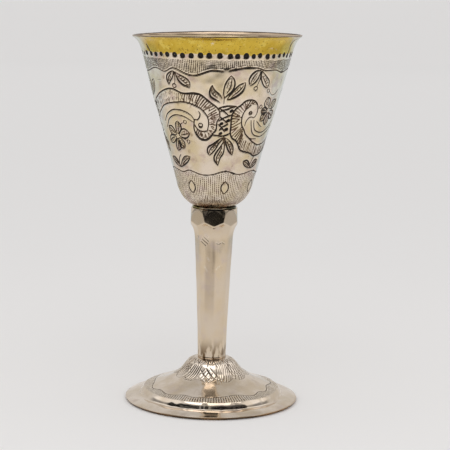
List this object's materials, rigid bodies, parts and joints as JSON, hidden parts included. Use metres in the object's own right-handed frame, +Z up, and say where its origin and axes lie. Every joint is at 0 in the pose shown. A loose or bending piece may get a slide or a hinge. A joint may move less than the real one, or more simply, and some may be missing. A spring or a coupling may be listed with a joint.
{
  "type": "silver chalice",
  "caption": "Small engraved silver chalice: flared conical cup with a gilt band under the lip, faceted stem with a knop, and a domed, stepped round foot",
  "frame": {"origin": "middle of the foot's seat, on the surface that the chalice stands on", "axes": "+Z up along the axis of the stem, -Y towards the front of the engraved pattern, +X to the right as seen from the front"},
  "size_m": [0.0614, 0.0614, 0.13],
  "materials": {
    "parcel_gilt_silver": "engraved and polished silver, dark in the cut lines, worn gilding under the lip and inside",
    "plate_silver": "plain sheet silver, tarnished at its edge",
    "cast_silver": "filed and polished silver with light scratches and brown stains at the foot end",
    "raised_silver": "raised, engraved and polished silver"
  },
  "bodies": {
    "root": {"bowl": "parcel_gilt_silver", "collar_plate": "plate_silver", "stem": "cast_silver", "foot": "raised_silver"}
  },
  "joints": []
}
